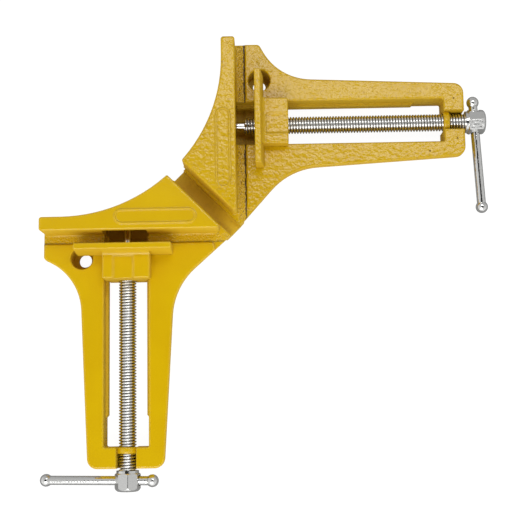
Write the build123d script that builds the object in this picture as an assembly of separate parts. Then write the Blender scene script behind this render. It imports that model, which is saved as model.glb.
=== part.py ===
from build123d import *
from math import asin, cos, degrees, hypot, radians, sin, sqrt, tan
import os

# Corner clamp: one cast body with two arms at right angles, and on each arm a jaw that a captive screw
# draws towards a fence. All sizes are in millimetres.
# The work corner, where the planes of the two fences meet, is the origin, with the bench at z = 0.
# Each arm is drawn once, along +X: s runs out from the fence and t across it from the work corner.
# The front arm, along -Y, is the mirror image of the right arm in the plane x + y = 0.

os.makedirs("parts", exist_ok=True)

# Heights above the bench
deck_height = 15.5
strip_drop = 1.2
flange_thickness = 4.0
fence_rise = 15.0
screw_height = 8.3

# Casting walls and roundings
wing_wall = 2.8
rail_wall = 3.8
top_round = 1.0
strip_round = 0.4
rim_chamfer = 0.4
foot_round = 1.2
rib_thickness = 2.5

# Fence wings
fence_length = 106.1
wing_tip_depth = 7.6
wing_apex_reach = 29.5
wing_back_corner = 62.6
wing_back_radius = 86.0
wing_tip_round = 1.5

# Diagonal saw channel between the wings
channel_width = 11.0
groove_width = 7.6
groove_depth = 3.5
channel_near_end = 1.63
channel_far_end = 45.6

# Arms
screw_offset = 61.0
slot_width = 24.2
slot_length = 115.1
end_bar = 11.3
arm_outer_half = 26.4
arm_inner_half = 27.7
arm_outer_taper = 0.045
arm_inner_taper = 0.0585
arm_corner_radius = 5.5
inner_corner_reach = 29.4
inner_corner_radius = 37.0
shoulder_reach = 13.35
shoulder_corner_reach = 23.7
shoulder_corner_radius = 31.0
shoulder_round = 2.5

# Relief strip along the fence foot, and the pad behind it
strip_width = 5.2
pad_start = 12.6
pad_round = 2.3

# Ledges that hold the jaw's flange down
ledge_width = 1.5
ledge_bottom = 3.0
ledge_top = 8.0
ledge_stop = 15.3

# Thin floor of the slot between the bearing wall and the arm, under the jaw's flange
slot_floor_thickness = 1.0
slot_floor_reach = 12.0

# Bench holes
bench_hole_reach = 13.1
bench_hole_offset = 85.2
counterbore_radius = 6.1
counterbore_depth = 11.9
bench_hole_radius = 3.65
boss_radius = 9.5

# Screw passage through the end bar: a bridge over the screw, then a saddle under it
bridge_thickness = 3.5
bridge_wall = 1.35
bridge_round = 1.1
passage_clearance = 0.5
saddle_clearance = 0.64

# Raised oblong panel border on each wing
panel_length = 44.3
panel_width = 8.5
panel_border = 1.2
panel_rise = 0.5
panel_crown = 0.45
panel_reach = 6.95
panel_offset = 43.75

# Screw, a 3/8 inch 16 thread
thread_radius = 9.525 / 2
thread_pitch = 25.4 / 16
thread_chamfer = 1.1
spigot_radius = 2.25
screw_shoulder = 2.4
bearing_front = 5.5
bearing_thickness = 2.5
spigot_clearance = 0.08

# Washer and retaining ring behind the bearing wall
washer_radius = 4.2
washer_thickness = 0.8
ring_radius = 3.6
ring_thickness = 0.7
ring_groove_depth = 0.5
spigot_end = 0.8
end_float = 0.1

# Screw head and tommy bar
head_gap = 1.3
collar_radius = 6.05
collar_length = 1.4
head_across_flats = 13.0
head_length = 9.7
head_end_round = 2.6
head_cap = 2.2
head_edge_round = 0.8
cross_hole_radius = 2.9
cross_hole_position = 3.9
bar_radius = 2.45
ball_radius = 3.4
ball_spacing = 58.6
ball_tip_radius = 1.5
ball_tip_length = 3.0
bench_gap = 0.15

# Jaw
jaw_gap = 0.3
jaw_plate_length = 52.2
jaw_plate_shift = 0.5
jaw_plate_thickness = 3.3
jaw_plate_foot = 5.0
jaw_plate_round = 0.6
jaw_block_width = 25.7
jaw_block_shift = -0.8
jaw_block_rise = 8.0
jaw_block_round = 0.9
jaw_fillet = 2.2
jaw_length = 18.4
jaw_relief = 0.6
jaw_recess_width = 12.0
jaw_recess_depth = 0.9
jaw_recess_slope = 1.2
guide_clearance = 0.3
flange_forward = 5.2
flange_length = 14.8
flange_bottom = 1.3
flange_top = 2.8
thread_clearance = 0.08

# How far each jaw stands off its fence at rest, and how each tommy bar lies in its head:
# the side its long end points to, the length of that end and its lean out of square
jaw_rest = {"right": 10.3, "front": 6.9}
bar_rest = {"right": (-1, 47.7, 3.75), "front": (1, 45.05, -0.6)}
# Both jaws come from one pattern, so its off-centre channel lies to opposite sides on the two arms
recess_shift = {"right": -1.5, "front": 1.5}
# How far the flats of each head are turned from its cross hole
head_turn = {"right": 19.0, "front": -9.0}

# Values worked out from the sizes above
arm_length = slot_length + end_bar
strip_height = deck_height - strip_drop
plate_bottom = deck_height - flange_thickness
fence_top = deck_height + fence_rise
wing_hollow_top = fence_top - wing_wall - 0.4
channel_diagonal = channel_width / 2 * sqrt(2)
slot_near = screw_offset - slot_width / 2
slot_far = screw_offset + slot_width / 2
head_start = arm_length + head_gap
head_end = head_start + collar_length + head_length
bar_position = head_start + collar_length + cross_hole_position
washer_start = bearing_front + bearing_thickness + end_float
ring_start = washer_start + washer_thickness + end_float
spigot_tip = ring_start + ring_thickness + spigot_end
cutter = 300.0


def mirrored(shape):
    """The same shape on the front arm."""
    return mirror(shape, about=Plane(origin=(0, 0, 0), z_dir=(1, 1, 0)))


def diagonal(along, across):
    """The point so far along the saw channel from the work corner, and so far across it."""
    return ((across - along) / sqrt(2), (across + along) / sqrt(2))


def outer_edge(s):
    """The arm's outer edge at the distance s from the fence."""
    return screw_offset + arm_outer_half - arm_outer_taper * s


def inner_edge(s):
    """The arm's inner edge at the distance s from the fence."""
    return screw_offset - arm_inner_half + arm_inner_taper * s


def rounded(points, radii):
    """A flat face with straight sides whose listed corners are rounded."""
    face = make_face(Polyline(*points, close=True)).faces()[0]
    for index, radius in radii:
        corner = Vector(*points[index])
        vertex = min(face.vertices(), key=lambda v: (Vector(*v) - corner).length)
        face = face.fillet_2d(radius, [vertex])
    return face


def slab(face, bottom, top):
    """A face in the bench plane, raised to bottom and thickened up to top."""
    return extrude(Pos(0, 0, bottom) * face, top - bottom)


def block(s0, s1, t0, t1, z0, z1):
    """A box between two distances from the fence, two across and two heights."""
    return Pos((s0 + s1) / 2, (t0 + t1) / 2, (z0 + z1) / 2) * Box(s1 - s0, t1 - t0, z1 - z0)


def rod(radius, s0, s1, height=screw_height, t=screw_offset):
    """A round bar along the arm."""
    return Pos((s0 + s1) / 2, t, height) * Rot(0, 90, 0) * Cylinder(radius, s1 - s0)


def round_top(solid, radius):
    """The same solid with every edge of its top face rounded."""
    return fillet(solid.faces().sort_by(Axis.Z)[-1].edges(), radius)


def wing_outline():
    """The fence wing seen from above."""
    points = [
        (0, channel_diagonal),
        (0, fence_length),
        (-wing_tip_depth, fence_length),
        (-wing_tip_depth, wing_back_corner),
        (-wing_apex_reach, wing_apex_reach + channel_diagonal),
    ]
    radii = [(3, wing_back_radius), (0, 1.5), (1, wing_tip_round), (2, wing_tip_round), (4, 1.0)]
    return rounded(points, radii)


def half_outline():
    """Everything the right half of the casting covers, seen from above."""
    points = [
        diagonal(channel_near_end, 0),
        diagonal(channel_near_end, groove_width / 2),
        (inner_corner_reach, inner_edge(inner_corner_reach)),
        (arm_length, inner_edge(arm_length)),
        (arm_length, outer_edge(arm_length)),
        (shoulder_corner_reach, outer_edge(shoulder_corner_reach)),
        (shoulder_reach, fence_length),
        (-wing_tip_depth, fence_length),
        (-wing_tip_depth, wing_back_corner),
        (-wing_apex_reach, wing_apex_reach + channel_diagonal),
        diagonal(channel_far_end, channel_width / 2),
        diagonal(channel_far_end, 0),
    ]
    radii = [
        (8, wing_back_radius),
        (2, inner_corner_radius),
        (3, arm_corner_radius),
        (4, arm_corner_radius),
        (5, shoulder_corner_radius),
        (6, shoulder_round),
        (7, 1.0),
    ]
    return rounded(points, radii)


def slot_outline(end_round=1.0):
    """The long slot that the jaw slides in, from inside the fence wall to the end bar."""
    points = [
        (-wing_wall - 0.1, slot_near),
        (slot_length, slot_near),
        (slot_length, slot_far),
        (-wing_wall - 0.1, slot_far),
    ]
    return rounded(points, [(1, end_round), (2, end_round)])


def pad_outline():
    """The deck behind the relief strip, with the whole arm."""
    reach = arm_length + 10
    across = fence_length + 10
    points = [(strip_width, pad_start), (reach, pad_start), (reach, across), (strip_width, across)]
    return (Sketch() + half_outline() & Sketch() + rounded(points, [(0, pad_round)])).faces()[0]


def wing():
    """The raised fence, hollow from below, with the wall that the screw's spigot turns in."""
    outline = wing_outline()
    solid = round_top(slab(outline, 0, fence_top), top_round)
    hollow = offset(Sketch() + outline, -wing_wall, kind=Kind.INTERSECTION)
    solid -= slab(hollow.faces()[0], 0, wing_hollow_top)
    back = -bearing_front - bearing_thickness
    solid += block(back, -bearing_front, slot_near - rail_wall, slot_far + rail_wall, 0, wing_hollow_top)
    for t in (slot_near - rail_wall, slot_far):
        solid += block(back, -wing_wall + 0.5, t, t + rail_wall, 0, wing_hollow_top)
    return solid - rod(spigot_radius + spigot_clearance, back - 1, -bearing_front + 1)


def fence_foot():
    """The rounded foot where the fence meets the relief strip."""
    corner = (foot_round, strip_height + foot_round)
    middle = (foot_round * (1 - sqrt(0.5)), strip_height + foot_round * (1 - sqrt(0.5)))
    curve = ThreePointArc((0, strip_height + foot_round), middle, (foot_round, strip_height))
    back = -0.5
    inside = Polyline((foot_round, strip_height), (back, strip_height), (back, corner[1]), (0, corner[1]))
    face = make_face(Plane.XZ * (curve + inside))
    start = channel_diagonal + 3.0
    return Pos(0, start, 0) * extrude(face, fence_length - 0.5 - start, dir=(0, 1, 0))


def ledge(side):
    """One ledge low on a slot wall, ending in a slope where the jaw is put in."""
    wall = screw_offset + side * (slot_width / 2 + 0.2)
    edge = screw_offset + side * (slot_width / 2 - ledge_width)
    end = slot_length - ledge_stop
    points = [(0.2, wall), (0.2, edge), (end - ledge_width, edge), (end + 0.2, wall)]
    return slab(rounded(points, []), ledge_bottom, ledge_top)


def slot_floor():
    """The thin floor that joins the two rails under the window."""
    lap = 0.3
    start = -bearing_front - lap
    return block(start, slot_floor_reach, slot_near - lap, slot_far + lap, 0, slot_floor_thickness)


def gusset(s, side):
    """A three-cornered rib under the deck, between a slot rail and the arm's edge."""
    inside = screw_offset + side * (slot_width / 2 + rail_wall - 0.3)
    outside = (outer_edge(s) if side > 0 else inner_edge(s)) - side * 1.2
    top = plate_bottom + 0.3
    points = [(inside, top), (outside, top), (outside, plate_bottom - 0.8), (inside, 2.0)]
    face = make_face(Plane.YZ * Polyline(*points, close=True))
    return Pos(s - rib_thickness / 2, 0, 0) * extrude(face, rib_thickness, dir=(1, 0, 0))


def screw_passage():
    """What the bridge, open below, and the saddle, open above, leave free for the screw."""
    bridge_end = slot_length + bridge_thickness
    under = thread_radius + passage_clearance
    over = thread_radius + saddle_clearance
    near, far = screw_offset - over, screw_offset + over
    cut = rod(under, slot_length - 0.5, bridge_end)
    cut += block(slot_length - 0.5, bridge_end, screw_offset - under, screw_offset + under, -1, screw_height)
    cut += rod(over, bridge_end, arm_length + 1)
    cut += block(bridge_end, arm_length + 1, near, far, screw_height, cutter)
    above = block(slot_length - 0.5, bridge_end + 0.5, near, far, screw_height, cutter)
    crown = rod(under + bridge_wall, slot_length, bridge_end)
    return cut + (above - fillet(crown.edges().filter_by(GeomType.CIRCLE), bridge_round))


def panel_border_ring():
    """The bare oblong border on top of a wing."""
    outside = SlotOverall(panel_length, panel_width)
    inside = SlotOverall(panel_length - 2 * panel_border, panel_width - 2 * panel_border)
    ring = Pos(-panel_reach, panel_offset) * Rot(0, 0, 90) * (outside - inside)
    solid = slab(ring, fence_top - 0.3, fence_top + panel_rise)
    return fillet(solid.edges().group_by(Axis.Z)[-1], panel_crown)


def body_half():
    """The right arm, its pad, its wing and its half of the web, before the saw groove is cut."""
    outline = half_outline()
    slot = slot_outline()
    hollow = offset(Sketch() + wing_outline(), -wing_wall, kind=Kind.INTERSECTION)
    pad = (Sketch() + pad_outline() - (Sketch() + slot)).faces()[0]
    solid = round_top(slab(outline, plate_bottom, strip_height), strip_round)
    solid -= slab(hollow.faces()[0], 0, strip_height)
    solid += round_top(slab(pad, plate_bottom, deck_height), top_round)
    rails = block(-wing_wall, arm_length, slot_near - rail_wall, slot_far + rail_wall, 0, plate_bottom + 0.5)
    solid += rails & slab(outline, 0, deck_height)
    solid += wing() + fence_foot() + panel_border_ring()
    solid += Pos(bench_hole_reach, bench_hole_offset, plate_bottom / 2) * Cylinder(boss_radius, plate_bottom)
    keel = [diagonal(channel_near_end, 0), diagonal(channel_near_end, groove_width / 2 + 3),
            diagonal(channel_far_end, groove_width / 2 + 3), diagonal(channel_far_end, 0)]
    keel_bottom = strip_height - groove_depth - rail_wall
    solid += slab(rounded(keel, []), keel_bottom, plate_bottom + 0.5) & slab(outline, 0, deck_height)
    for s in (42.0, 68.0, 94.0):
        for side in (-1, 1):
            solid += gusset(s, side)
    solid -= slab(slot, -1, wing_hollow_top)
    solid += ledge(-1) + ledge(1) + slot_floor()
    solid -= screw_passage()
    hole = Pos(bench_hole_reach, bench_hole_offset, 0)
    solid -= hole * Pos(0, 0, cutter / 2 - 1) * Cylinder(bench_hole_radius, cutter)
    counterbore = Cylinder(counterbore_radius, cutter)
    solid -= hole * Pos(0, 0, deck_height - counterbore_depth + cutter / 2) * counterbore
    rim = Cone(counterbore_radius, counterbore_radius + rim_chamfer, rim_chamfer)
    return solid - hole * Pos(0, 0, deck_height - rim_chamfer / 2) * rim


def cast_body():
    """Both halves as one casting, with the saw groove cut down the middle."""
    half = body_half()
    whole = half + mirrored(half)
    side = groove_width / 2
    far = channel_far_end + 10
    points = [diagonal(-10, -side), diagonal(-10, side), diagonal(far, side), diagonal(far, -side)]
    return whole - slab(rounded(points, []), strip_height - groove_depth, strip_height + 1)


def jaw_recess(centre, start, back, top):
    """The shallow channel along the top of the jaw's block, with sloping sides."""
    wide = jaw_recess_width / 2
    narrow = wide - jaw_recess_slope
    floor = top - jaw_recess_depth
    right_side = [(centre + narrow, floor), (centre + wide, top), (centre + wide, top + 1)]
    left_side = [(centre - wide, top + 1), (centre - wide, top), (centre - narrow, floor)]
    points = right_side + left_side
    face = make_face(Plane.YZ * Polyline(*points, close=True))
    return Pos(start, 0, 0) * extrude(face, back + 1 - start, dir=(1, 0, 0))


def jaw(rest, channel_shift):
    """One jaw: the upright plate, the block behind it, the guide in the slot and its flange."""
    bottom = deck_height + jaw_gap
    plate = [(0, bottom), (0, fence_top), (jaw_plate_thickness, fence_top), (jaw_plate_foot, bottom)]
    face = make_face(Plane.XZ * Polyline(*plate, close=True))
    centre = screw_offset + jaw_plate_shift
    solid = Pos(rest, centre - jaw_plate_length / 2, 0) * extrude(face, jaw_plate_length, dir=(0, 1, 0))
    foot = solid.edges().group_by(Axis.Z)[0]
    solid = fillet([edge for edge in solid.edges() if edge not in foot], jaw_plate_round)
    block_centre = screw_offset + jaw_block_shift
    low, high = block_centre - jaw_block_width / 2, block_centre + jaw_block_width / 2
    block_top = deck_height + jaw_block_rise
    body = block(rest + 1.0, rest + jaw_length, low, high, bottom, block_top)
    rear = body.edges().group_by(Axis.X)[-1]
    rear_top = rear.filter_by(Axis.Y).sort_by(Axis.Z)[-1:]
    tops = body.edges().group_by(Axis.Z)[-1].filter_by(Axis.X)
    solid += fillet(rear.filter_by(Axis.Z) + rear_top + tops, jaw_block_round)
    lean = (jaw_plate_foot - jaw_plate_thickness) * (fence_top - block_top) / (fence_top - bottom)
    start = rest + jaw_plate_thickness + lean
    end = start + jaw_fillet
    top = block_top + jaw_fillet
    corner = [(start - 1.0, block_top - 0.5), (end, block_top - 0.5), (end, block_top),
              (start - 0.3, top), (start - 1.0, top)]
    web = make_face(Plane.XZ * Polyline(*corner, close=True))
    web = Pos(0, low, 0) * extrude(web, high - low, dir=(0, 1, 0))
    round_cut = Pos(end, (low + high) / 2, top) * Rot(90, 0, 0)
    solid += web - round_cut * Cylinder(jaw_fillet, jaw_block_width + 2)
    solid -= jaw_recess(block_centre + channel_shift, end, rest + jaw_length, block_top)
    wide = slot_width / 2 - guide_clearance
    narrow = wide - ledge_width
    back = rest + jaw_length
    front = rest + jaw_relief
    ledge_gap = ledge_top + guide_clearance
    solid += block(front, back, screw_offset - wide, screw_offset + wide, ledge_gap, bottom + 0.5)
    solid += block(front, back, screw_offset - narrow, screw_offset + narrow, flange_bottom, ledge_gap + 0.1)
    solid += block(rest - flange_forward, rest - flange_forward + flange_length,
                   screw_offset - wide, screw_offset + wide, flange_bottom, flange_top)
    return solid - rod(thread_radius + thread_clearance, rest - 1, back + 1)


def screw():
    """The screw: a plain bar of the thread's outer size, with a spigot and a ring groove in front."""
    solid = rod(thread_radius, screw_shoulder, head_end - head_cap)
    front = solid.faces().sort_by(Axis.X)[0].edges()
    solid = chamfer(front, thread_chamfer)
    solid += rod(spigot_radius, -spigot_tip, screw_shoulder + 0.5)
    collar = rod(spigot_radius + 1, -ring_start - ring_thickness, -ring_start)
    return solid - (collar - rod(spigot_radius - ring_groove_depth, -ring_start - 1, -ring_start + 1))


def screw_head(turn):
    """The eight-sided head, with a turned collar and rounded ends, pressed on the screw."""
    start = head_start + collar_length
    solid = Pos(start, screw_offset, screw_height) * Rot(0, 90, 0) * extrude(
        Rot(0, 0, 22.5 + turn) * RegularPolygon(head_across_flats / 2, 8, major_radius=False), head_length)
    solid = fillet(solid.edges().filter_by(Axis.X), head_edge_round)
    across_corners = head_across_flats / cos(radians(22.5)) / 2
    barrel = rod(across_corners, start, head_end)
    barrel = fillet(barrel.faces().sort_by(Axis.X)[-1].edges(), head_end_round)
    barrel = chamfer(barrel.faces().sort_by(Axis.X)[0].edges(), 0.6)
    solid = (solid & barrel) + rod(collar_radius, head_start, start + 0.5)
    return solid - rod(thread_radius, head_start - 1, head_end - head_cap)


def bar_frame(side, long_end, lean):
    """Where the tommy bar lies: its centre plane, with Z along the bar towards the long end."""
    drop = asin((screw_height - ball_radius - bench_gap) / long_end)
    lean = radians(lean)
    direction = (sin(lean) * cos(drop), side * cos(lean) * cos(drop), -sin(drop))
    return Plane(origin=(bar_position, screw_offset, screw_height), x_dir=(1, 0, 0), z_dir=direction)


def bar_drop(long_end):
    """How many degrees the bar, and the head with it, is turned from level."""
    return degrees(asin((screw_height - ball_radius - bench_gap) / long_end))


def turned(shape, side, long_end):
    """A piece on the screw's axis turned so that its cross hole follows the bar."""
    return shape.rotate(Axis((0, screw_offset, screw_height), (1, 0, 0)), -side * bar_drop(long_end))


def cross_hole():
    """The hole for the tommy bar, square to the screw."""
    return Pos(bar_position, screw_offset, screw_height) * Rot(90, 0, 0) * Cylinder(cross_hole_radius, 40)


def along_bar(radius, start, end):
    """A round bar in the tommy bar's own frame."""
    return Pos(0, 0, (start + end) / 2) * Cylinder(radius, end - start)


def tommy_bar(frame, long_end):
    """The sliding bar, with a thin tip at each end for its ball."""
    seat = sqrt(ball_radius ** 2 - bar_radius ** 2)
    short_end = long_end - ball_spacing
    solid = along_bar(bar_radius, short_end + seat, long_end - seat)
    reach = ball_tip_length - seat
    solid += along_bar(ball_tip_radius, short_end - reach, long_end + reach)
    return frame.location * solid


def bar_ball(frame, place, outward):
    """One end ball, with a flat seat and a blind hole for the bar's tip."""
    seat = sqrt(ball_radius ** 2 - bar_radius ** 2)
    solid = Pos(0, 0, place) * Sphere(ball_radius)
    inner = place - outward * seat
    far = place - outward * 2 * ball_radius
    solid -= along_bar(ball_radius + 1, min(inner, far), max(inner, far))
    deep = place + outward * (ball_tip_length - seat)
    solid -= along_bar(ball_tip_radius, min(inner, deep), max(inner, deep))
    return frame.location * solid


def thrust_washer():
    """The washer between the bearing wall and the retaining ring."""
    start = -washer_start - washer_thickness
    return rod(washer_radius, start, -washer_start) - rod(spigot_radius + 0.1, start - 1, -washer_start + 1)


def retaining_ring():
    """The open ring that snaps into the spigot's groove, with its mouth downwards."""
    start, end = -ring_start - ring_thickness, -ring_start
    solid = rod(ring_radius, start, end) - rod(spigot_radius - ring_groove_depth, start - 1, end + 1)
    mouth = spigot_radius - ring_groove_depth - 0.1
    return solid - block(start - 1, end + 1, screw_offset - mouth, screw_offset + mouth, 0, screw_height)


def build_arm(name):
    """All the loose pieces of one arm, drawn on the right arm."""
    side, long_end, lean = bar_rest[name]
    frame = bar_frame(side, long_end, lean)
    return {
        name + "_jaw": jaw(jaw_rest[name], recess_shift[name]),
        name + "_screw": turned(screw() - cross_hole(), side, long_end),
        name + "_screw_head": turned(screw_head(head_turn[name]) - cross_hole(), side, long_end),
        name + "_thrust_washer": thrust_washer(),
        name + "_retaining_ring": turned(retaining_ring(), side, long_end),
        name + "_tommy_bar": tommy_bar(frame, long_end),
        name + "_bar_long_ball": bar_ball(frame, long_end, 1),
        name + "_bar_short_ball": bar_ball(frame, long_end - ball_spacing, -1),
    }


nodes = {"cast_body": cast_body()}
nodes.update(build_arm("right"))
for node, solid in build_arm("front").items():
    nodes[node] = mirrored(solid)

for node, solid in nodes.items():
    export_step(solid, "parts/" + node + ".step")
    box = solid.bounding_box()
    print(node, len(solid.solids()), "solid,", round(solid.volume), "mm3,", box.min, box.max)
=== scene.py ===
from math import cos, hypot, pi, radians, sin

import bpy
from mathutils import Matrix, Vector


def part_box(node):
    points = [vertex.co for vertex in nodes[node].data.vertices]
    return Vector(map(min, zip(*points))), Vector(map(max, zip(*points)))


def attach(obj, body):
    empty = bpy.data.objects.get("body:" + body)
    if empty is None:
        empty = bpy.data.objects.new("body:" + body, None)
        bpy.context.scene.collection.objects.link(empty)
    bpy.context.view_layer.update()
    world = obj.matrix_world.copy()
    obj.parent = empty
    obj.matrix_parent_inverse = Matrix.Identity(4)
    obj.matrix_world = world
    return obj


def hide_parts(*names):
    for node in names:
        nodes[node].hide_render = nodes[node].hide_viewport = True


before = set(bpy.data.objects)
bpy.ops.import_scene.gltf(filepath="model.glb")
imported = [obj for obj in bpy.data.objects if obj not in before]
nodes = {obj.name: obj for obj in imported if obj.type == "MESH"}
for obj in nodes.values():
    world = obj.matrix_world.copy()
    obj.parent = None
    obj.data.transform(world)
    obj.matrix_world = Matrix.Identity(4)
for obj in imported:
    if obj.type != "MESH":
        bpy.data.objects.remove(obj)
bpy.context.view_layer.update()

# Camera: it looks almost straight down on the clamp from half a metre up, over the open side between
# the arms, with a long lens. Its place, aim and turn are those of the photograph.
mm = 0.001
camera_place = Vector((13.4, -93.3, 593.4)) * mm
camera_aim = Vector((7.3, -13.65, 15.5)) * mm
camera_turn = radians(0.87)
camera_lens = 75.33
camera_shift = (0.009, 0.0007)

bpy.ops.object.camera_add(location=camera_place)
camera = bpy.context.object
camera.name = "camera"
forward = (camera_aim - camera_place).normalized()
sideways = forward.cross(Vector((sin(camera_turn), cos(camera_turn), 0))).normalized()
axes = Matrix((sideways, sideways.cross(forward), -forward)).transposed()
camera.matrix_world = Matrix.Translation(camera_place) @ axes.to_4x4()
camera.data.lens = camera_lens
camera.data.sensor_width = 36
camera.data.shift_x, camera.data.shift_y = camera_shift
camera.data.clip_start = 0.01
bpy.context.scene.camera = camera


# Floor and light: white paper under a pale studio dome, brighter to the front, with a dark patch where
# the camera stands over the clamp. The flat tops of the right arm mirror a soft box overhead, and a
# larger one hangs high at the front.
def colour(hex_code):
    """A colour written as sRGB hex, as the linear colour that a shader takes."""
    channels = [int(hex_code[i:i + 2], 16) / 255 for i in (1, 3, 5)]
    return [c / 12.92 if c <= 0.04045 else ((c + 0.055) / 1.055) ** 2.4 for c in channels] + [1]


def new_material(name):
    """A material with only its output and its main shader, and the node tree to add to."""
    material = bpy.data.materials.new(name)
    material.use_nodes = True
    return material, material.node_tree


def add_node(tree, kind, settings=None, **inputs):
    """A new shader node with its settings. Each input takes a value, or a socket that is linked to it,
    and an input without a name of its own goes by number, so _2 is the third."""
    node = tree.nodes.new(kind)
    for key, value in (settings or {}).items():
        setattr(node, key, value)
    for key, value in inputs.items():
        socket = node.inputs[int(key[1:])] if key.startswith("_") else node.inputs[key]
        if isinstance(value, bpy.types.NodeSocket):
            tree.links.new(value, socket)
        else:
            socket.default_value = value
    return node


table_size = 3
bpy.ops.mesh.primitive_plane_add(size=table_size, location=(0, 0, 0))
table = bpy.context.object
table.name = "studio_table"
table_paper, tree = new_material("white_studio_paper")
tree.nodes.clear()
# the paper glows a little of its own; the camera sees it almost white, and plated metal sees it with
# more of the shadow on it
glow_for_camera, glow_in_metal = 0.95, 0.05
grey_for_camera, grey_in_metal = 0.14, 0.30
seen = add_node(tree, "ShaderNodeLightPath")
mirrored = add_node(tree, "ShaderNodeMath", {"operation": "MAXIMUM"},
                    _0=seen.outputs["Is Glossy Ray"], _1=seen.outputs["Is Transmission Ray"])
direct = add_node(tree, "ShaderNodeMath", {"operation": "MAXIMUM"},
                  _0=seen.outputs["Is Camera Ray"], _1=mirrored.outputs[0])
white = add_node(tree, "ShaderNodeMapRange", Value=seen.outputs["Is Camera Ray"],
                 _3=glow_in_metal, _4=glow_for_camera)
grey = add_node(tree, "ShaderNodeMapRange", Value=seen.outputs["Is Camera Ray"],
                _3=grey_in_metal, _4=grey_for_camera)
bounce = add_node(tree, "ShaderNodeBsdfDiffuse", Color=colour("#E4E4E2"))
backlight = add_node(tree, "ShaderNodeEmission", Color=(1, 1, 1, 1), Strength=0.25)
paper = add_node(tree, "ShaderNodeAddShader", _0=bounce.outputs[0], _1=backlight.outputs[0])
shadow = add_node(tree, "ShaderNodeBsdfDiffuse", Color=grey.outputs["Result"])
glow = add_node(tree, "ShaderNodeEmission", Color=(1, 1, 1, 1), Strength=white.outputs["Result"])
lit = add_node(tree, "ShaderNodeAddShader", _0=shadow.outputs[0], _1=glow.outputs[0])
either = add_node(tree, "ShaderNodeMixShader", _0=direct.outputs[0], _1=paper.outputs[0],
                  _2=lit.outputs[0])
add_node(tree, "ShaderNodeOutputMaterial", Surface=either.outputs[0])
table.data.materials.append(table_paper)

studio = bpy.data.worlds.new("studio")
bpy.context.scene.world = studio
studio.use_nodes = True
tree = studio.node_tree
place = add_node(tree, "ShaderNodeTexCoord").outputs["Generated"]
height = add_node(tree, "ShaderNodeSeparateXYZ", Vector=place)
ceiling = add_node(tree, "ShaderNodeValToRGB", Fac=height.outputs["Z"])
dome = ceiling.color_ramp.elements
dome[0].position, dome[0].color = 0.02, (0.75, 0.75, 0.75, 1)
dome[1].position, dome[1].color = 0.80, (0.62, 0.62, 0.62, 1)
dome.new(0.40).color = (0.70, 0.70, 0.70, 1)
towards_front = add_node(tree, "ShaderNodeVectorMath", {"operation": "DOT_PRODUCT"},
                         _0=place, _1=Vector((-0.30, -0.95, 0)))
front_light = add_node(tree, "ShaderNodeMapRange", Value=towards_front.outputs["Value"],
                       _1=-1.0, _2=1.0, _3=0.65, _4=1.50)
# the dark patch is an oval round the camera, a little to the front of straight up
across_camera = add_node(tree, "ShaderNodeMapping", Vector=place, Location=(0, 0.33, 0),
                         Scale=(3.1, 2.4, 0))
off_camera = add_node(tree, "ShaderNodeVectorMath", {"operation": "LENGTH"},
                      _0=across_camera.outputs["Vector"])
round_camera = add_node(tree, "ShaderNodeMapRange", {"interpolation_type": "SMOOTHSTEP"},
                        Value=off_camera.outputs["Value"], _1=0.9, _2=1.2, _3=0.03, _4=1.0)
level = add_node(tree, "ShaderNodeMath", {"operation": "MULTIPLY"},
                 _0=front_light.outputs["Result"], _1=round_camera.outputs["Result"])
backdrop = add_node(tree, "ShaderNodeLightPath").outputs["Is Camera Ray"]
sky = add_node(tree, "ShaderNodeBackground", Color=ceiling.outputs["Color"], Strength=level.outputs[0])
plain = add_node(tree, "ShaderNodeBackground", Color=(1, 1, 1, 1), Strength=1.0)
both = add_node(tree, "ShaderNodeMixShader", _0=backdrop, _1=sky.outputs[0], _2=plain.outputs[0])
tree.links.new(both.outputs[0], tree.nodes["World Output"].inputs["Surface"])

# each soft box: its place and aim, its turn in degrees, its two sides, and how bright its face is
for name, spot, aim, turn, size_x, size_y, radiance in (
        ("soft_box_overhead", (115, 265, 605), (115, 265, 0), -14, 430, 160, 4.6),
        ("soft_box_front", (-70, -500, 580), (0, 0, 0), 0, 500, 380, 3.5)):
    bpy.ops.object.light_add(type="AREA", location=Vector(spot) * mm)
    lamp = bpy.context.object
    lamp.name = name
    lamp.data.shape = "RECTANGLE"
    lamp.data.size = size_x * mm
    lamp.data.size_y = size_y * mm
    lamp.data.energy = radiance * pi * lamp.data.size * lamp.data.size_y
    lamp.rotation_euler = (Vector(aim) - Vector(spot)).to_track_quat("-Z", "Y").to_euler()
    lamp.rotation_euler.z += radians(turn)

# Cast body and jaws: aluminium castings in glossy yellow enamel. The enamel follows the grain of the
# sand-cast skin, so flat tops mirror the light in small broken patches, and it is rougher and pitted in
# the relief strip along each fence, where a dark line of painted shade runs against the pad's edge.
deck_height = 15.5
enamel, tree = new_material("yellow_enamel_on_cast_aluminium")
shader = tree.nodes["Principled BSDF"]
shader.inputs["IOR"].default_value = 1.5
place = add_node(tree, "ShaderNodeTexCoord").outputs["Object"]
where = add_node(tree, "ShaderNodeSeparateXYZ", Vector=place)
# the right half of the casting has the coarser skin
spread = add_node(tree, "ShaderNodeMath", {"operation": "ADD"}, _0=where.outputs["X"],
                  _1=where.outputs["Y"])
coarse = add_node(tree, "ShaderNodeMapRange", {"interpolation_type": "SMOOTHSTEP"},
                  Value=spread.outputs[0], _1=-25 * mm, _2=35 * mm, _3=0.06, _4=1.0)
shade = add_node(tree, "ShaderNodeTexNoise", Vector=place, Scale=1 / (22 * mm), Detail=2.0)
tone = add_node(tree, "ShaderNodeValToRGB", Fac=shade.outputs["Fac"])
tone.color_ramp.elements[0].position, tone.color_ramp.elements[0].color = 0.35, colour("#D6AD00")
tone.color_ramp.elements[1].position, tone.color_ramp.elements[1].color = 0.65, colour("#DAB300")
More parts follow.
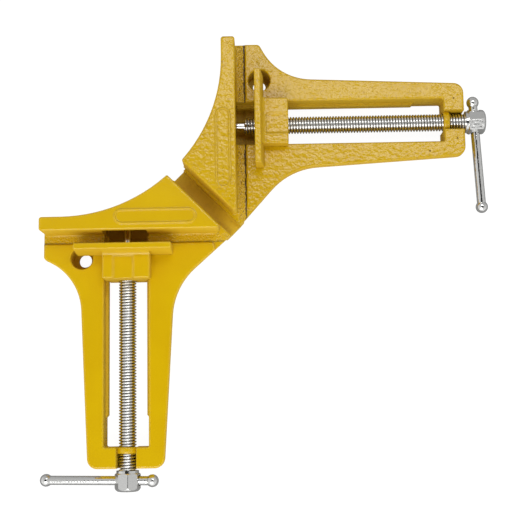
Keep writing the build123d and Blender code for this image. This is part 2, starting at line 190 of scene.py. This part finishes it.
# the coarse right half is painted a little deeper in colour, as painted shade for its skin shading
# itself, and deeper still in its pocks, as painted shade in them; moulding sand is 0.3 mm across, too
# fine for the picture, so its grain is drawn 1.3 mm wide
painted_shade_on_right = add_node(tree, "ShaderNodeMath", {"operation": "MULTIPLY"}, _0=coarse.outputs["Result"], _1=0.42)
# painted shade: the right half's colour is mixed towards a darker yellow
skin = add_node(tree, "ShaderNodeMix", {"data_type": "RGBA"}, _0=painted_shade_on_right.outputs[0],
                _6=tone.outputs["Color"], _7=colour("#B89100"))
grain = add_node(tree, "ShaderNodeTexNoise", Vector=place, Scale=1 / (1.3 * mm), Detail=2.0,
                 Roughness=0.6)
pocks = add_node(tree, "ShaderNodeMapRange", Value=grain.outputs["Fac"], _1=0.44, _2=0.34,
                 _3=0.0, _4=0.55)
painted_pock_shade = add_node(tree, "ShaderNodeMath", {"operation": "MULTIPLY"}, _0=pocks.outputs["Result"],
                  _1=coarse.outputs["Result"])
# painted shade: the pocks are mixed towards a darker brown-yellow
skin = add_node(tree, "ShaderNodeMix", {"data_type": "RGBA"}, _0=painted_pock_shade.outputs[0],
                _6=skin.outputs[2], _7=colour("#A87E00"))

# the relief strip lies along each fence's face, and the distance from that face is x on the right arm
# and -y on the front arm; a ragged dark line of painted shade, for the shade at the pad's step, runs
# along the strip, beside the pad
strip_bottom, strip_top = 13.8 * mm, 15.3 * mm
crack_place = 4.85 * mm
backwards = add_node(tree, "ShaderNodeMath", {"operation": "MULTIPLY"}, _0=where.outputs["Y"], _1=-1.0)
on_right = add_node(tree, "ShaderNodeMath", {"operation": "GREATER_THAN"}, _0=spread.outputs[0], _1=0.0)
from_fence = add_node(tree, "ShaderNodeMix", {"data_type": "FLOAT"}, _0=on_right.outputs[0],
                      _2=backwards.outputs[0], _3=where.outputs["X"])
wander = add_node(tree, "ShaderNodeTexNoise", Vector=place, Scale=1 / (2.5 * mm), Detail=2.0)
ragged = add_node(tree, "ShaderNodeMapRange", Value=wander.outputs["Fac"], _3=-0.9 * mm, _4=0.9 * mm)
ragged_line = add_node(tree, "ShaderNodeMath", {"operation": "ADD"}, _0=from_fence.outputs[0],
                       _1=ragged.outputs["Result"])
below_deck = add_node(tree, "ShaderNodeMath", {"operation": "LESS_THAN"}, _0=where.outputs["Z"],
                      _1=strip_top)
above_slots = add_node(tree, "ShaderNodeMath", {"operation": "GREATER_THAN"}, _0=where.outputs["Z"],
                       _1=strip_bottom)
strip_level = add_node(tree, "ShaderNodeMath", {"operation": "MULTIPLY"}, _0=below_deck.outputs[0],
                       _1=above_slots.outputs[0])
strip_side = add_node(tree, "ShaderNodeMapRange", Value=from_fence.outputs[0], _1=0.2 * mm, _2=0.7 * mm)
strip_end = add_node(tree, "ShaderNodeMapRange", Value=from_fence.outputs[0], _1=5.6 * mm, _2=5.2 * mm)
strip_width = add_node(tree, "ShaderNodeMath", {"operation": "MULTIPLY"},
                       _0=strip_side.outputs["Result"], _1=strip_end.outputs["Result"])
strip = add_node(tree, "ShaderNodeMath", {"operation": "MULTIPLY"}, _0=strip_width.outputs[0],
                 _1=strip_level.outputs[0])
crack = add_node(tree, "ShaderNodeMath", {"operation": "SUBTRACT"}, _0=ragged_line.outputs[0],
                 _1=crack_place)
beside = add_node(tree, "ShaderNodeMath", {"operation": "ABSOLUTE"}, _0=crack.outputs[0])
line = add_node(tree, "ShaderNodeMapRange", Value=beside.outputs[0], _1=0.65 * mm, _2=0.3 * mm)
crack_shade_in_strip = add_node(tree, "ShaderNodeMath", {"operation": "MULTIPLY"}, _0=line.outputs["Result"],
                  _1=strip.outputs[0])
thin = add_node(tree, "ShaderNodeMapRange", Value=coarse.outputs["Result"], _3=0.35, _4=1.0)
painted_crack_shade = add_node(tree, "ShaderNodeMath", {"operation": "MULTIPLY"}, _0=crack_shade_in_strip.outputs[0],
                 _1=thin.outputs["Result"])
# painted shade: the crack line is mixed towards a near-black brown
skin = add_node(tree, "ShaderNodeMix", {"data_type": "RGBA"}, _0=painted_crack_shade.outputs[0],
                _6=skin.outputs[2], _7=colour("#382901"))
# sand grains that broke out of the strip's skin, and three blow holes in the right arm, painted dark
# brown as the shade inside them
holes = add_node(tree, "ShaderNodeTexNoise", Vector=place, Scale=1 / (0.9 * mm), Detail=1.0)
broken = add_node(tree, "ShaderNodeMapRange", Value=holes.outputs["Fac"], _1=0.43, _2=0.35,
                  _3=0.0, _4=0.8)
crumbled = add_node(tree, "ShaderNodeMath", {"operation": "MULTIPLY"}, _0=broken.outputs["Result"],
                    _1=strip.outputs[0])
pitted = add_node(tree, "ShaderNodeMath", {"operation": "MULTIPLY"}, _0=crumbled.outputs[0],
                  _1=coarse.outputs["Result"])
for x, y in ((120.7, 73.1), (122.0, 50.3), (106.6, 43.3)):
    near = add_node(tree, "ShaderNodeVectorMath", {"operation": "DISTANCE"}, _0=place,
                    _1=Vector((x, y, deck_height)) * mm)
    hole = add_node(tree, "ShaderNodeMapRange", Value=near.outputs["Value"], _1=0.75 * mm, _2=0.35 * mm,
                    _3=0.0, _4=0.85)
    pitted = add_node(tree, "ShaderNodeMath", {"operation": "MAXIMUM"}, _0=pitted.outputs[0],
                      _1=hole.outputs["Result"])
# painted shade: the pits and blow holes are mixed towards dark brown
skin = add_node(tree, "ShaderNodeMix", {"data_type": "RGBA"}, _0=pitted.outputs[0], _6=skin.outputs[2],
                _7=colour("#6B4A00"))
tree.links.new(skin.outputs[2], shader.inputs["Base Color"])

# upright walls are duller than the flat tops, because the spray reached them at a slant, and so are the
# floors of the slots and of the channel, where it lay thin and dusty
facing = add_node(tree, "ShaderNodeSeparateXYZ",
                  Vector=add_node(tree, "ShaderNodeNewGeometry").outputs["Normal"])
dull = add_node(tree, "ShaderNodeMapRange", Value=facing.outputs["Z"], _1=0.3, _2=0.85,
                _3=0.7, _4=0.2)
sunk = add_node(tree, "ShaderNodeMapRange", Value=where.outputs["Z"], _1=13.6 * mm, _2=12.6 * mm,
                _3=0.0, _4=0.6)
duller = add_node(tree, "ShaderNodeMath", {"operation": "MAXIMUM"}, _0=dull.outputs["Result"],
                  _1=sunk.outputs["Result"])
dullest = add_node(tree, "ShaderNodeMath", {"operation": "MAXIMUM"}, _0=duller.outputs[0],
                   _1=pitted.outputs[0])
tree.links.new(dullest.outputs[0], shader.inputs["Roughness"])
# three bumps on one another: the sand's grain, the enamel's slow waves, and the strip's broken skin
peel = add_node(tree, "ShaderNodeTexNoise", Vector=place, Scale=1 / (2.2 * mm), Detail=1.0)
# the foundry's edges are rounded, and a bevel in the shader gives them their pale line
rounded = add_node(tree, "ShaderNodeBevel", {"samples": 6}, Radius=0.9 * mm)
fine = add_node(tree, "ShaderNodeBump", Strength=coarse.outputs["Result"], Distance=0.10 * mm,
                Height=grain.outputs["Fac"], Normal=rounded.outputs["Normal"])
broad = add_node(tree, "ShaderNodeBump", Strength=coarse.outputs["Result"], Distance=0.34 * mm,
                 Height=peel.outputs["Fac"], Normal=fine.outputs["Normal"])
rough = add_node(tree, "ShaderNodeBump", Strength=strip.outputs[0], Distance=0.5 * mm,
                 Height=holes.outputs["Fac"], Normal=broad.outputs["Normal"])
tree.links.new(rough.outputs["Normal"], shader.inputs["Normal"])
for node in ("cast_body", "right_jaw", "front_jaw"):
    nodes[node].material_slots[0].material = enamel

# Screws: plated steel bars with a rolled 60 degree thread, turned down at the fence end to a spigot with
# a groove for the ring. The plain far end is pressed in the head and cross-drilled with it.
thread_pitch = 25.4 / 16
thread_radius = 9.525 / 2
thread_depth = 0.95
root_radius = thread_radius - thread_depth
thread_start, thread_end = 4.6, 128.6
shank_start, screw_end = 128.4, 136.6
spigot_radius, spigot_tip = 2.25, -10.5
groove_radius, groove_back, groove_front = 1.75, -9.7, -9.0
screw_offset, screw_height = 61, 8.3
cross_hole_place, cross_hole_radius = 133.0, 2.9

rolled, tree = new_material("zinc_plated_rolled_thread")
# zinc over rolled steel: the colour is painted brightest on the crests and darker towards the roots,
# as painted shade in the thread roots, and the roots are rougher
shader = tree.nodes["Principled BSDF"]
shader.inputs["Metallic"].default_value = 1
depth = add_node(tree, "ShaderNodeAttribute", {"attribute_name": "depth"})
# painted shade: the colour darkens from crest to root
painted_root_shade = add_node(tree, "ShaderNodeValToRGB", Fac=depth.outputs["Fac"])
painted_root_shade.color_ramp.elements[0].position, painted_root_shade.color_ramp.elements[0].color = 0.15, colour("#F2F2F0")
painted_root_shade.color_ramp.elements[1].position, painted_root_shade.color_ramp.elements[1].color = 1.0, colour("#8A8884")
painted_root_shade.color_ramp.elements.new(0.6).color = colour("#D2D2CF")
tree.links.new(painted_root_shade.outputs["Color"], shader.inputs["Base Color"])
dull = add_node(tree, "ShaderNodeMapRange", Value=depth.outputs["Fac"], _1=0.1, _2=0.7, _3=0.10, _4=0.34)
tree.links.new(dull.outputs["Result"], shader.inputs["Roughness"])


def start_profile(name, radius, height):
    """A profile's first vertex, at a radius and height in millimetres, in edit mode to be extruded."""
    bpy.ops.object.select_all(action="DESELECT")
    bpy.ops.mesh.primitive_plane_add(size=mm)
    bpy.context.object.name = name
    bpy.ops.object.mode_set(mode="EDIT")
    bpy.ops.mesh.select_all(action="SELECT")
    bpy.ops.mesh.merge(type="CENTER")
    bpy.ops.transform.translate(value=(radius * mm, 0, height * mm))
    return bpy.context.object


def turned_piece(name, points, steps):
    """A round piece on the Z axis, spun from a profile of (radius, height) points in millimetres."""
    piece = start_profile(name, *points[0])
    for (r0, z0), (r1, z1) in zip(points, points[1:]):
        step = ((r1 - r0) * mm, 0, (z1 - z0) * mm)
        bpy.ops.mesh.extrude_region_move(TRANSFORM_OT_translate={"value": step})
    bpy.ops.mesh.select_all(action="SELECT")
    bpy.ops.mesh.spin(steps=steps, angle=2 * pi, center=(0, 0, 0), axis=(0, 0, 1))
    bpy.ops.mesh.select_all(action="SELECT")
    bpy.ops.mesh.remove_doubles(threshold=1e-6)
    bpy.ops.mesh.normals_make_consistent(inside=False)
    bpy.ops.object.mode_set(mode="OBJECT")
    return piece


# one turn of the thread, as steps outwards and along: a flank, the rounded crest, a flank and the root
crest, root_flat = 0.62, 0.20
flank = (thread_pitch - crest - root_flat) / 2
one_turn = [(0.85, flank), (0.07, 0.12), (0.03, 0.12), (0, 0.14), (-0.03, 0.12), (-0.07, 0.12),
            (-0.85, flank), (0, root_flat)]
spigot_profile = [(0, spigot_tip), (spigot_radius - 0.25, spigot_tip), (spigot_radius, spigot_tip + 0.25),
                  (spigot_radius, groove_back), (groove_radius, groove_back),
                  (groove_radius, groove_front), (spigot_radius, groove_front),
                  (spigot_radius, thread_start - 0.3), (3.2, thread_start - 0.05),
                  (3.5, thread_start + 0.3), (3.5, thread_start + 2), (0, thread_start + 2)]
shank_profile = [(0, shank_start), (thread_radius, shank_start), (thread_radius, screw_end - 1),
                 (thread_radius - 1, screw_end), (0, screw_end)]
# each screw is made upright and tipped over about Y or X, so that it points out along its arm
for arm, tipped_about, foot, outwards in (
        ("right", "Y", (0, screw_offset, screw_height), (1, 0, 0)),
        ("front", "X", (-screw_offset, 0, screw_height), (0, -1, 0))):
    thread = start_profile(arm + "_threaded_screw", root_radius, thread_start - 1.5 * thread_pitch)
    for out, along in one_turn:
        bpy.ops.mesh.extrude_region_move(TRANSFORM_OT_translate={"value": (out * mm, 0, along * mm)})
    bpy.ops.object.mode_set(mode="OBJECT")
    sweep = thread.modifiers.new("thread", "SCREW")
    sweep.angle = 2 * pi
    sweep.screw_offset = thread_pitch * mm
    sweep.iterations = int((thread_end - thread_start) / thread_pitch) + 4
    sweep.steps = sweep.render_steps = 28
    bpy.ops.object.modifier_apply(modifier="thread")
    bpy.ops.object.mode_set(mode="EDIT")
    bpy.ops.mesh.select_all(action="SELECT")
    bpy.ops.mesh.remove_doubles(threshold=1e-7)
    for end, side in ((thread_start, -1), (thread_end, 1)):
        bpy.ops.mesh.select_all(action="SELECT")
        bpy.ops.mesh.bisect(plane_co=(0, 0, end * mm), plane_no=(0, 0, side), threshold=1e-7,
                            use_fill=True, clear_outer=True)
    bpy.ops.mesh.select_all(action="SELECT")
    bpy.ops.mesh.normals_make_consistent(inside=False)
    bpy.ops.object.mode_set(mode="OBJECT")

    spigot = turned_piece("spigot", spigot_profile, 40)
    shank = turned_piece("shank", shank_profile, 48)
    along_arm = Matrix.Translation(Vector(foot) * mm) @ Matrix.Rotation(pi / 2, 4, tipped_about)
    for piece in (thread, spigot, shank):
        piece.matrix_world = along_arm

    # the cross hole follows the line between the bar's two balls
    long_low, long_high = (Vector(corner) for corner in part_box(arm + "_bar_long_ball"))
    short_low, short_high = (Vector(corner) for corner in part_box(arm + "_bar_short_ball"))
    along_bar = (long_low + long_high - short_low - short_high).normalized()
    cross_hole = (Vector(foot) + Vector(outwards) * cross_hole_place) * mm
    bpy.ops.object.select_all(action="DESELECT")
    bpy.ops.mesh.primitive_cylinder_add(vertices=40, radius=cross_hole_radius * mm, depth=16 * mm,
                                        location=cross_hole)
    drill = bpy.context.object
    drill.rotation_euler = along_bar.to_track_quat("Z", "Y").to_euler()
    bored = shank.modifiers.new("cross_hole", "BOOLEAN")
    bored.operation = "DIFFERENCE"
    bored.solver = "EXACT"
    bored.object = drill
    bpy.context.view_layer.objects.active = shank
    bpy.ops.object.modifier_apply(modifier="cross_hole")
    bpy.data.objects.remove(drill)

    bpy.ops.object.select_all(action="DESELECT")
    for piece in (spigot, shank, thread):
        piece.select_set(True)
    bpy.context.view_layer.objects.active = thread
    bpy.ops.object.join()
    depth = thread.data.attributes.new("depth", "FLOAT", "POINT")
    for vertex, value in zip(thread.data.vertices, depth.data):
        out = hypot(vertex.co.x, vertex.co.y) / mm
        threaded = thread_start + 0.01 < vertex.co.z / mm < thread_end
        value.value = (thread_radius - out) / thread_depth if threaded else 0.0
    bpy.ops.object.transform_apply(location=True, rotation=True, scale=True)
    bpy.ops.object.shade_smooth_by_angle(angle=radians(40))
    thread.data.materials.clear()
    thread.data.materials.append(rolled)
    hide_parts(arm + "_screw")
    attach(thread, arm + "_screw")

# Heads, bars and balls: turned steel in bright nickel plate. The plate follows the file and lathe marks
# under it, so its mirror is a little wavy and clouded.
plate, tree = new_material("bright_nickel_plate")
shader = tree.nodes["Principled BSDF"]
shader.inputs["Base Color"].default_value = colour("#E0E0DE")
shader.inputs["Metallic"].default_value = 1
place = add_node(tree, "ShaderNodeTexCoord").outputs["Object"]
cloud = add_node(tree, "ShaderNodeTexNoise", Vector=place, Scale=1 / (1.8 * mm), Detail=3.0,
                 Roughness=0.6)
haze = add_node(tree, "ShaderNodeMapRange", Value=cloud.outputs["Fac"], _1=0.35, _2=0.65,
                _3=0.06, _4=0.20)
tree.links.new(haze.outputs["Result"], shader.inputs["Roughness"])
waves = add_node(tree, "ShaderNodeTexNoise", Vector=place, Scale=1 / (1.1 * mm), Detail=1.0)
wavy = add_node(tree, "ShaderNodeBump", Strength=1.0, Distance=0.09 * mm, Height=waves.outputs["Fac"])
tree.links.new(wavy.outputs["Normal"], shader.inputs["Normal"])
for arm in ("right", "front"):
    for piece in ("screw_head", "tommy_bar", "bar_long_ball", "bar_short_ball"):
        nodes[arm + "_" + piece].material_slots[0].material = plate

# Thrust washers and retaining rings behind the bearing walls: spring steel strip, blanked and left with
# its blue-grey phosphate coat. Its crystals are too fine to see, so they are drawn 0.5 mm wide.
phosphate, tree = new_material("phosphated_spring_steel")
shader = tree.nodes["Principled BSDF"]
shader.inputs["Metallic"].default_value = 1
shader.inputs["Roughness"].default_value = 0.45
place = add_node(tree, "ShaderNodeTexCoord").outputs["Object"]
crystals = add_node(tree, "ShaderNodeTexNoise", Vector=place, Scale=1 / (0.5 * mm), Detail=3.0)
greys = add_node(tree, "ShaderNodeValToRGB", Fac=crystals.outputs["Fac"])
greys.color_ramp.elements[0].position, greys.color_ramp.elements[0].color = 0.35, colour("#5C5F62")
greys.color_ramp.elements[1].position, greys.color_ramp.elements[1].color = 0.65, colour("#85888A")
tree.links.new(greys.outputs["Color"], shader.inputs["Base Color"])
for arm in ("right", "front"):
    for piece in ("thrust_washer", "retaining_ring"):
        nodes[arm + "_" + piece].material_slots[0].material = phosphate

bpy.context.scene.view_settings.view_transform = "Standard"
